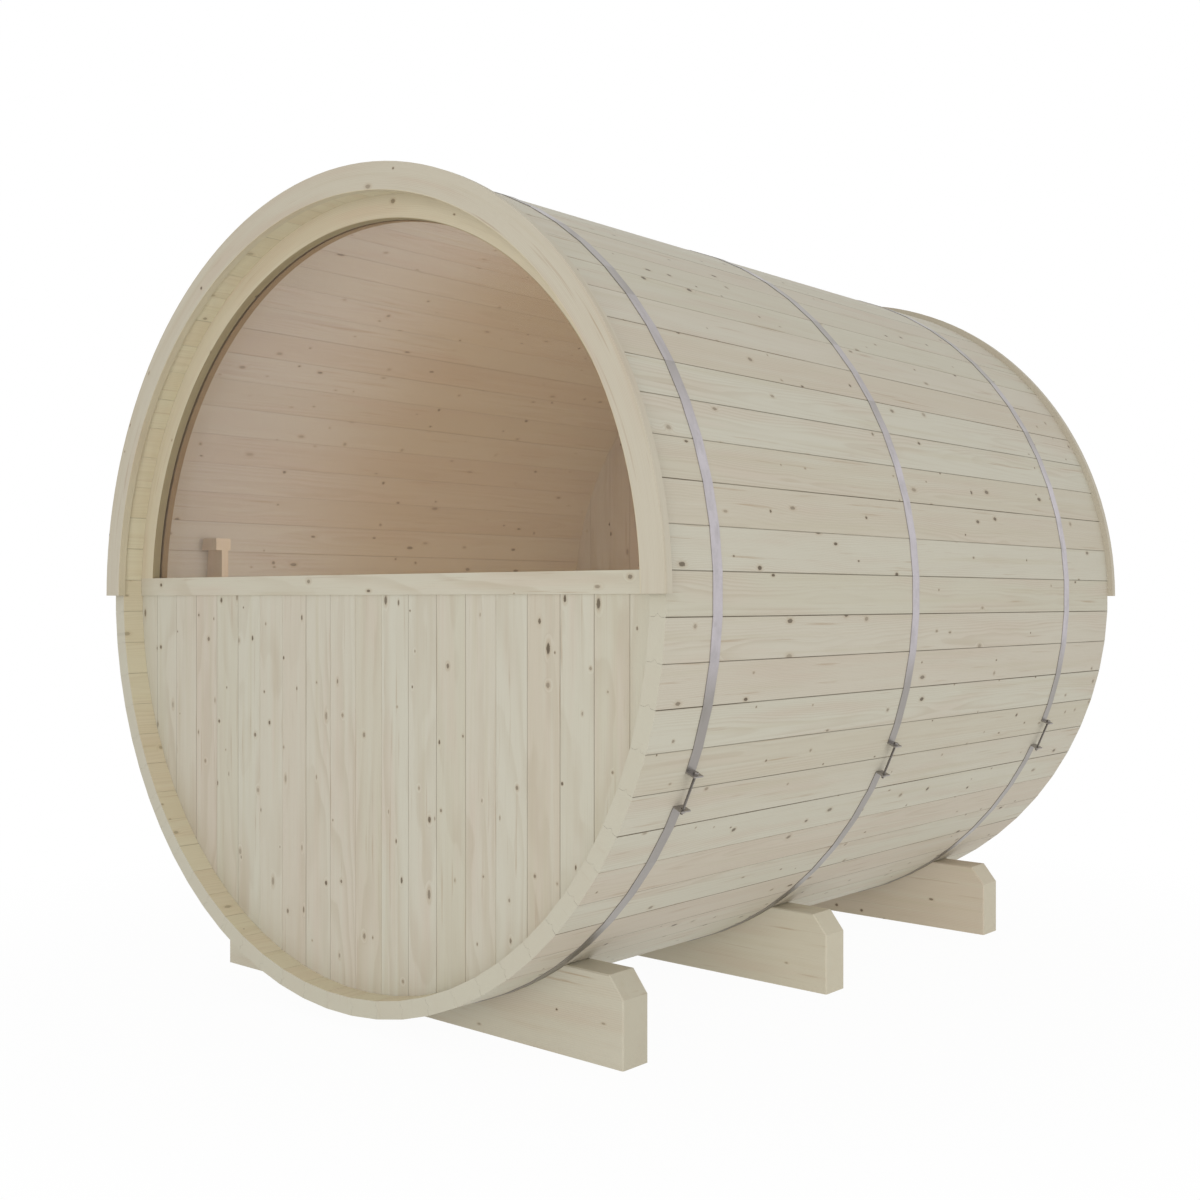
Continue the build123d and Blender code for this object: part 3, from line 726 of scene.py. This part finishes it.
def glass_material():
    """Bronze pane; lamp light, and light that bounces about the cabin, passes it as through a thin film."""
    glass = bpy.context.scene.sauna_glass
    material, tree, shader = new_material("Bronze glass")
    shader.inputs["Base Color"].default_value = (*glass.tint, 1)
    shader.inputs["Roughness"].default_value = 0.0
    shader.inputs["IOR"].default_value = glass.refraction
    shader.inputs["Transmission Weight"].default_value = glass.clear
    film = tree.nodes.new("ShaderNodeBsdfTransparent")
    film.inputs["Color"].default_value = (*glass.film, 1)
    path = tree.nodes.new("ShaderNodeLightPath")
    passing = calc(tree, "MAXIMUM", path.outputs["Is Shadow Ray"], path.outputs["Is Diffuse Ray"])
    choose_shader(tree, passing, shader, film)
    return material


# Modelling by hand in edit mode

def start_piece(name, add, **settings):
    """Add a primitive with nothing else selected, and go into edit mode with all of it selected."""
    bpy.ops.object.select_all(action="DESELECT")
    add(**settings)
    piece = bpy.context.object
    piece.name = name
    bpy.ops.object.mode_set(mode="EDIT")
    bpy.ops.mesh.select_all(action="SELECT")
    return piece


def leave_edit():
    """Back to object mode."""
    bpy.ops.object.mode_set(mode="OBJECT")


def pick_faces(piece, wanted):
    """Select the faces of the piece in edit mode for which wanted(face centre, face normal) is true."""
    bpy.ops.mesh.select_all(action="DESELECT")
    bpy.ops.mesh.select_mode(type="FACE")
    leave_edit()
    for face in piece.data.polygons:
        face.select = wanted(face.center, face.normal)
    bpy.ops.object.mode_set(mode="EDIT")


def join_pieces(name, pieces):
    """One object of several, with its place in its mesh."""
    bpy.ops.object.select_all(action="DESELECT")
    for piece in pieces:
        piece.select_set(True)
    bpy.context.view_layer.objects.active = pieces[0]
    if len(pieces) > 1:
        bpy.ops.object.join()
    bpy.ops.object.transform_apply(location=True, rotation=True, scale=True)
    pieces[0].name = name
    pieces[0].data.name = name
    return pieces[0]


def finish_piece(piece, material):
    """Outward normals, soft edges where they are round, finish, slot and body of a modelled piece."""
    bpy.ops.object.select_all(action="DESELECT")
    piece.select_set(True)
    bpy.context.view_layer.objects.active = piece
    bpy.ops.object.mode_set(mode="EDIT")
    bpy.ops.mesh.select_all(action="SELECT")
    bpy.ops.mesh.normals_make_consistent(inside=False)
    leave_edit()
    bpy.ops.object.shade_smooth_by_angle(angle=math.radians(32))
    piece.data.materials.clear()
    piece.data.materials.append(material)
    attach(piece, "root")


def bevel_piece(piece, width, segments=2):
    """Round every sharp edge of a piece."""
    rounding = piece.modifiers.new("Rounding", "BEVEL")
    rounding.width = width
    rounding.segments = segments
    rounding.limit_method = "ANGLE"
    rounding.angle_limit = math.radians(40)
    bpy.context.view_layer.objects.active = piece
    bpy.ops.object.modifier_apply(modifier=rounding.name)


def threaded_rod(steel, low, high):
    """Rod with one crest for each turn of its thread, between two heights."""
    crest = steel.bolt_diameter / 2
    root = crest - steel.thread_depth
    turns = int((high - low) / steel.thread_pitch)
    pitch = (high - low) / turns
    piece = start_piece("rod", bpy.ops.mesh.primitive_circle_add, vertices=20, radius=root, fill_type="NGON",
                        location=(0, 0, low))
    for turn in range(turns):
        for radius_share in (crest / root, root / crest):
            bpy.ops.mesh.extrude_region_move(TRANSFORM_OT_translate={"value": (0, 0, pitch / 2)})
            bpy.ops.transform.resize(value=(radius_share, radius_share, 1))
    leave_edit()
    return piece


def hex_block(steel, low, height, name):
    """Bolt head or nut with rounded edges, standing on a height."""
    corner_radius = steel.head_width / 2 / math.cos(math.pi / 6)
    piece = start_piece(name, bpy.ops.mesh.primitive_cylinder_add, vertices=6, radius=corner_radius,
                        depth=height, location=(0, 0, low + height / 2))
    pick_faces(piece, lambda centre, normal: abs(normal.z) > 0.9)
    bpy.ops.mesh.inset(thickness=height * 0.1, depth=0)
    leave_edit()
    bevel_piece(piece, height * 0.12)
    return piece


def washer(steel, low):
    """Flat washer lying on a height."""
    piece = start_piece("washer", bpy.ops.mesh.primitive_cylinder_add, vertices=32,
                        radius=steel.washer_diameter / 2, depth=steel.washer_thickness,
                        location=(0, 0, low + steel.washer_thickness / 2))
    leave_edit()
    bevel_piece(piece, steel.washer_thickness * 0.25)
    return piece


class SAUNA_OT_staves(bpy.types.Operator):
    """Spruce on the staves, each with its own figure along the barrel"""

    bl_idname = "sauna.staves"
    bl_label = "Stave spruce"

    def execute(self, context):
        # Inner faces take painted light and shade from stave_inner_tint
        material = spruce_material("Stave spruce", stave_axes, end_side=y_axis, knots=0.36, weakest=0.25,
                                   strongest=0.9, inner=(stave_inside, stave_inner_tint))
        wear(material, stave_nodes)
        return {"FINISHED"}


class SAUNA_OT_end_walls(bpy.types.Operator):
    """Spruce on the upright boards of both end walls and the door leaf"""

    bl_idname = "sauna.end_walls"
    bl_label = "End wall spruce"

    def execute(self, context):
        wall = spruce_material("Wall board spruce", wall_board_axes, end_side=z_axis, knots=0.4,
                               strongest=0.38)
        wear(wall, wall_board_nodes)
        door = spruce_material("Door board spruce", door_board_axes, end_side=z_axis, knots=0.4, weakest=0.1,
                               strongest=0.5)
        wear(door, ("door_boards",))
        return {"FINISHED"}


class SAUNA_OT_arches(bpy.types.Operator):
    """Spruce on the half rings, bent from strips"""

    bl_idname = "sauna.arches"
    bl_label = "Arch spruce"

    def execute(self, context):
        wood = context.scene.sauna_wood
        # The trims' inner sides take painted light from the trim inner tint
        trim = spruce_material("Trim spruce", arch_axes, end_side=None, knots=0.14,
                               tint=tuple(wood.trim_tint),
                               inner=(trim_inside, lambda tree, along: tuple(wood.trim_inner_light_tint)))
        wear(trim, trim_nodes)
        # The window's reveal takes painted shade from the reveal tint
        ring = spruce_material("Window arch spruce", arch_axes, end_side=None, knots=0.1,
                               tint=tuple(wood.arch_tint),
                               inner=(window_reveal, lambda tree, along: tuple(wood.reveal_shade_tint)))
        wear(ring, ("window_arch",))
        return {"FINISHED"}


class SAUNA_OT_beams(bpy.types.Operator):
    """Spruce on the cradles, sill and rails, and on the posts, pull and bracket"""

    bl_idname = "sauna.beams"
    bl_label = "Beam spruce"

    def execute(self, context):
        wood = context.scene.sauna_wood
        for name, axes, end_side, knots, tint, nodes in (
                ("Level spruce", level_axes, x_axis, 0.36, wood.sawn_tint, level_nodes),
                ("Upright spruce", upright_axes, z_axis, 0.3, wood.sawn_tint, upright_nodes),
                # The cradles further back take painted light from their tint
                ("Sheltered spruce", level_axes, x_axis, 0.36, wood.cradle_painted_light_tint, painted_light_cradle_nodes),
                # The bracket takes painted light from its tint
                ("Bracket spruce", upright_axes, None, 0.2, wood.bracket_light_tint, ("wall_bracket",))):
            wear(spruce_material(name, axes, end_side, knots, tint=tuple(tint)), nodes)
        return {"FINISHED"}


class SAUNA_OT_straps(bpy.types.Operator):
    """Galvanised steel on the hoops and hinges"""

    bl_idname = "sauna.straps"
    bl_label = "Hoop steel"

    def execute(self, context):
        wear(steel_material(), strap_nodes)
        return {"FINISHED"}


class SAUNA_OT_window(bpy.types.Operator):
    """Bronze glass in the half-round window"""

    bl_idname = "sauna.window"
    bl_label = "Window glass"

    def execute(self, context):
        wear(glass_material(), ("window_glass",))
        return {"FINISHED"}


class SAUNA_OT_hoop_bolts(bpy.types.Operator):
    """Threaded bolts with head, nut and washers that pull the hoops tight"""

    bl_idname = "sauna.hoop_bolts"
    bl_label = "Hoop bolts"

    def execute(self, context):
        steel = context.scene.sauna_steel
        seat = steel.bolt_gap / 2 + steel.lug_thickness
        block = steel.head_height - steel.washer_thickness
        strap_radius = stave_face + steel.strap_seat
        lug_foot = math.sqrt(strap_radius ** 2 - (steel.bolt_gap / 2) ** 2)
        line_radius = lug_foot + steel.bolt_stand
        outwards = Vector((math.cos(steel.bolt_angle), 0, -math.sin(steel.bolt_angle)))
        upwards = Vector((math.sin(steel.bolt_angle), 0, math.cos(steel.bolt_angle)))
        for name in hoop_names:
            low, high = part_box(name + "_hoop")
            centre = Vector((0, (low.y + high.y) / 2, axis_height)) + outwards * line_radius
            bolt = join_pieces("rod", [
                threaded_rod(steel, -seat - steel.head_height - steel.bolt_tail, seat + block / 2),
                washer(steel, seat),
                hex_block(steel, seat + steel.washer_thickness, block, "head"),
                washer(steel, -seat - steel.washer_thickness),
                hex_block(steel, -seat - steel.head_height, block, "nut"),
            ])
            turn = Matrix((outwards, upwards.cross(outwards), upwards)).transposed()
            bolt.matrix_world = Matrix.Translation(centre) @ turn.to_4x4()
            bolt = join_pieces(name + "_tension_bolt", [bolt])
            finish_piece(bolt, steel_material())
            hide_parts(name + "_hoop_bolt")
        return {"FINISHED"}


class SAUNA_OT_hinge_screws(bpy.types.Operator):
    """Cross-slotted screws in the plates of the rear door's hinges"""

    bl_idname = "sauna.hinge_screws"
    bl_label = "Hinge screws"

    def screw(self, steel, place):
        """One low screw head with a cross slot, looking to +Y."""
        head = start_piece("screw", bpy.ops.mesh.primitive_cylinder_add, vertices=20,
                           depth=steel.screw_rise * 2, radius=steel.screw_diameter / 2, location=place,
                           rotation=(math.pi / 2, 0, 0))
        leave_edit()
        bpy.ops.object.transform_apply(location=True, rotation=True, scale=True)
        bevel_piece(head, steel.screw_rise * 0.7, segments=3)
        slot_length = steel.screw_diameter * 0.6
        for width, height in ((slot_length, steel.screw_slot), (steel.screw_slot, slot_length)):
            cutter = start_piece("slot", bpy.ops.mesh.primitive_cube_add, size=1,
                                 location=place + Vector((0, steel.screw_rise, 0)),
                                 scale=(width, steel.screw_rise, height))
            leave_edit()
            cut = head.modifiers.new("Slot", "BOOLEAN")
            cut.object = cutter
            cut.operation = "DIFFERENCE"
            bpy.context.view_layer.objects.active = head
            bpy.ops.object.modifier_apply(modifier=cut.name)
            bpy.data.objects.remove(cutter)
        return head

    def execute(self, context):
        steel = context.scene.sauna_steel
        low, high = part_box("door_hinges")
        middle = (low.x + high.x) / 2
        plate_face = low.y + steel.hinge_plate_thickness
        screw_line = steel.hinge_plate * 0.6
        screw_shares = (0.14, 0.5, 0.86)
        heads = []
        for foot in (low.z, high.z - steel.hinge_length):
            for share in screw_shares:
                height = foot + share * steel.hinge_length
                for side in (-1, 1):
                    place = Vector((middle + side * screw_line, plate_face, height))
                    heads.append(self.screw(steel, place))
        finish_piece(join_pieces("door_hinge_screws", heads), steel_material())
        return {"FINISHED"}


class SAUNA_OT_stage(bpy.types.Operator):
    """Camera, even light, soft lamps and a plain pale floor"""

    bl_idname = "sauna.stage"
    bl_label = "Stage"

    def seen(self, tree):
        """Value that is 1 where the camera, a mirror or a pane looks."""
        path = tree.nodes.new("ShaderNodeLightPath")
        seen = calc(tree, "MAXIMUM", path.outputs["Is Camera Ray"], path.outputs["Is Glossy Ray"])
        return calc(tree, "MAXIMUM", seen, path.outputs["Is Transmission Ray"])

    def lamp(self, name, kind, place, power):
        """Lamp at a place, itself unseen."""
        bpy.ops.object.select_all(action="DESELECT")
        bpy.ops.object.light_add(type=kind, location=place)
        lamp = bpy.context.object
        lamp.name = name
        lamp.data.energy = power
        lamp.visible_camera = False
        lamp.visible_glossy = False
        lamp.visible_transmission = False
        return lamp

    def add_camera(self, context, stage):
        """Level camera at the photograph's place."""
        bpy.ops.object.select_all(action="DESELECT")
        bpy.ops.object.camera_add(location=stage.camera_place, rotation=(math.pi / 2, 0, stage.camera_turn))
        camera = context.object
        camera.data.sensor_width = 36
        camera.data.lens = stage.lens
        context.scene.camera = camera

    def add_world(self, context, stage):
        """Even light from all round, seen as plain white."""
        world = bpy.data.worlds.new("Even white")
        world.use_nodes = True
        context.scene.world = world
        tree = world.node_tree
        light = tree.nodes["Background"]
        light.inputs["Strength"].default_value = stage.sky
        white = tree.nodes.new("ShaderNodeBackground")
        for background in (light, white):
            background.inputs["Color"].default_value = (1, 1, 1, 1)
        choose_shader(tree, self.seen(tree), light, white, "World Output")

    def add_floor(self, stage):
        """Pale floor that shows shadows near the barrel and is seen as plain white further away; for diffuse
        rays it glows, painted light that lights the barrel from below.
        """
        floor = start_piece("floor", bpy.ops.mesh.primitive_plane_add, size=stage.floor_size)
        bpy.ops.mesh.subdivide(number_cuts=3)
        leave_edit()
        material, tree, shader = new_material("Pale floor")
        shader.inputs["Base Color"].default_value = (*stage.floor_colour, 1)
        shader.inputs["Roughness"].default_value = 1.0
        shader.inputs["Specular IOR Level"].default_value = 0.0
        glow = tree.nodes.new("ShaderNodeEmission")
        away = reach(tree, *object_sides(tree)[:2])
        white = step(tree, away, stage.floor_near, stage.floor_far, stage.floor_white, 1.0)
        diffuse_ray = tree.nodes.new("ShaderNodeLightPath").outputs["Is Diffuse Ray"]
        # For diffuse rays the floor glows with painted light of the floor light share, lighting the barrel
        # from below
        glowing = calc(tree, "MAXIMUM", product(tree, self.seen(tree), white),
                       product(tree, diffuse_ray, stage.floor_light))
        choose_shader(tree, glowing, shader, glow)
        floor.data.materials.append(material)

    def add_lamps(self, stage):
        """Soft lamps round the barrel, turned to its middle, and two lamps inside the cabin."""
        middle = Vector((0, 0, axis_height))
        for name, place, power, size in (
                ("front_lamp", stage.key_place, stage.key_power, stage.key_size),
                ("side_lamp", stage.side_place, stage.side_power, stage.side_size),
                ("back_lamp", stage.back_place, stage.back_power, stage.back_size)):
            soft = self.lamp(name, "AREA", place, power)
            soft.data.size = size
            soft.rotation_euler = (middle - soft.location).to_track_quat("-Z", "Y").to_euler()
        for name, place, power in (
                ("cabin_lamp", stage.cabin_place, stage.cabin_power),
                ("rear_cabin_lamp", stage.rear_cabin_place, stage.rear_cabin_power)):
            self.lamp(name, "POINT", place, power).data.shadow_soft_size = stage.cabin_radius

    def execute(self, context):
        stage = context.scene.sauna_stage
        self.add_camera(context, stage)
        self.add_world(context, stage)
        self.add_floor(stage)
        self.add_lamps(stage)
        context.scene.view_settings.view_transform = "Standard"
        return {"FINISHED"}


class SAUNA_PT_finishes(bpy.types.Panel):
    """Sidebar panel with the sauna's finishes and pieces"""

    bl_idname = "SAUNA_PT_finishes"
    bl_label = "Barrel sauna"
    bl_space_type = "VIEW_3D"
    bl_region_type = "UI"
    bl_category = "Sauna"

    def draw(self, context):
        for settings in (context.scene.sauna_wood, context.scene.sauna_steel,
                         context.scene.sauna_glass, context.scene.sauna_stage):
            box = self.layout.box()
            for name in settings.__annotations__:
                box.prop(settings, name)
        for operator in operators:
            self.layout.operator(operator.bl_idname)


operators = (
    SAUNA_OT_staves,
    SAUNA_OT_end_walls,
    SAUNA_OT_arches,
    SAUNA_OT_beams,
    SAUNA_OT_straps,
    SAUNA_OT_window,
    SAUNA_OT_hoop_bolts,
    SAUNA_OT_hinge_screws,
    SAUNA_OT_stage,
)
settings_groups = {
    "sauna_wood": SaunaWood,
    "sauna_steel": SaunaSteel,
    "sauna_glass": SaunaGlass,
    "sauna_stage": SaunaStage,
}


def register():
    """Register the classes and hang the settings on the scene."""
    for name, group in settings_groups.items():
        bpy.utils.register_class(group)
        setattr(bpy.types.Scene, name, bpy.props.PointerProperty(type=group))
    for operator in operators:
        bpy.utils.register_class(operator)
    bpy.utils.register_class(SAUNA_PT_finishes)


def unregister():
    """Take the classes and settings away again."""
    bpy.utils.unregister_class(SAUNA_PT_finishes)
    for operator in reversed(operators):
        bpy.utils.unregister_class(operator)
    for name, group in settings_groups.items():
        delattr(bpy.types.Scene, name)
        bpy.utils.unregister_class(group)


def main():
    """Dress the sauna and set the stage."""
    register()
    bpy.ops.sauna.staves()
    bpy.ops.sauna.end_walls()
    bpy.ops.sauna.arches()
    bpy.ops.sauna.beams()
    bpy.ops.sauna.straps()
    bpy.ops.sauna.window()
    bpy.ops.sauna.hoop_bolts()
    bpy.ops.sauna.hinge_screws()
    bpy.ops.sauna.stage()


if __name__ == "__main__":
    main()
